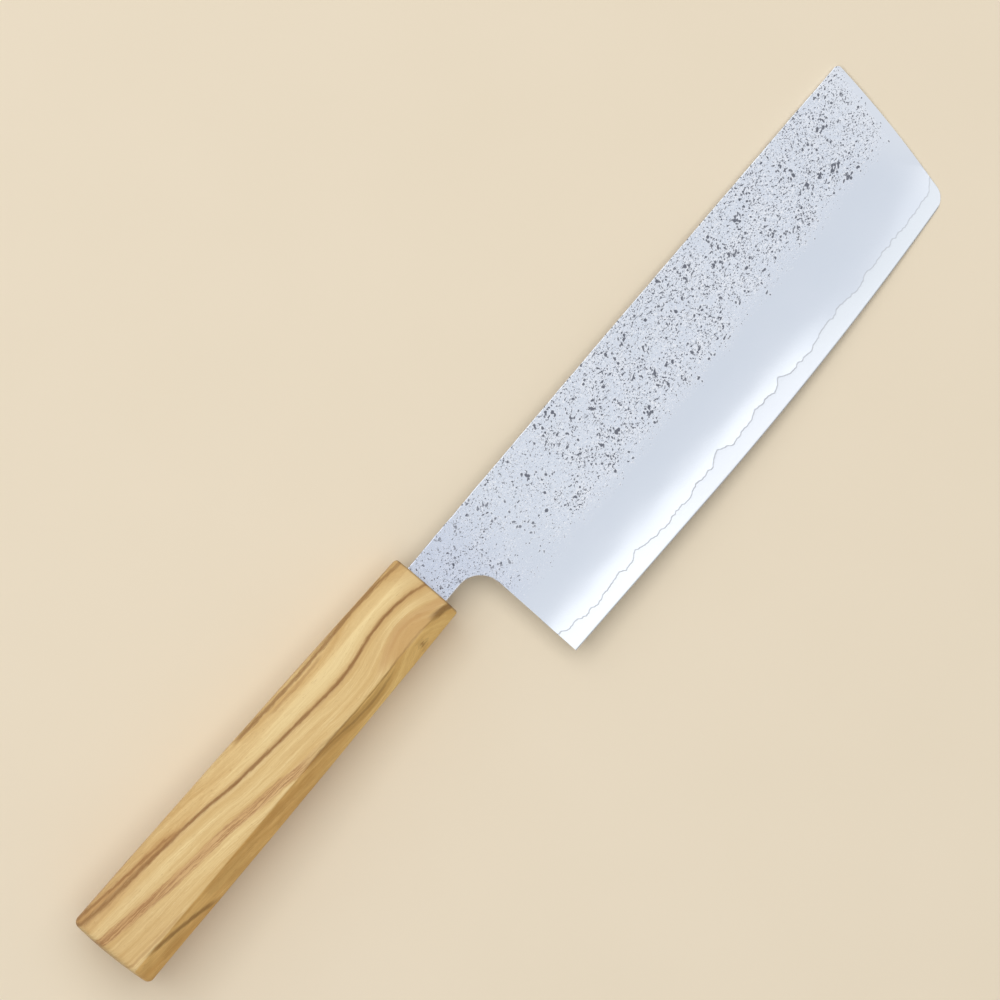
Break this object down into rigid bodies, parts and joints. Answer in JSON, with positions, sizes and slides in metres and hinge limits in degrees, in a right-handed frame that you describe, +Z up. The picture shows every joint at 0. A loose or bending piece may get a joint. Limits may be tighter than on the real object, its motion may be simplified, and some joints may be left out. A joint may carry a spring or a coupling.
{
  "type": "nakiri knife",
  "caption": "Vegetable knife: a straight-edged rectangular clad blade with a wide convex double bevel, its tang bedded in a tapered octagonal wooden handle.",
  "frame": {"origin": "under the middle of the whole knife, at the height of the handle's lowest point", "axes": "+X runs from the butt to the tip, +Y towards the spine, +Z up with the knife lying on its side; the blade's middle plane and the handle's axis are level"},
  "size_m": [0.322, 0.0575, 0.0226],
  "materials": {
    "edge_steel": "fine satin, honed at the edge",
    "cladding_steel": "pear-skin pitted above, fine satin on the bevel",
    "olive_wood": "sanded and oiled, dark wavy grain",
    "bedding_resin": "cured resin"
  },
  "bodies": {
    "root": {"core_steel": "edge_steel", "front_cladding": "cladding_steel", "back_cladding": "cladding_steel", "handle": "olive_wood", "tang_bedding": "bedding_resin"}
  },
  "joints": []
}
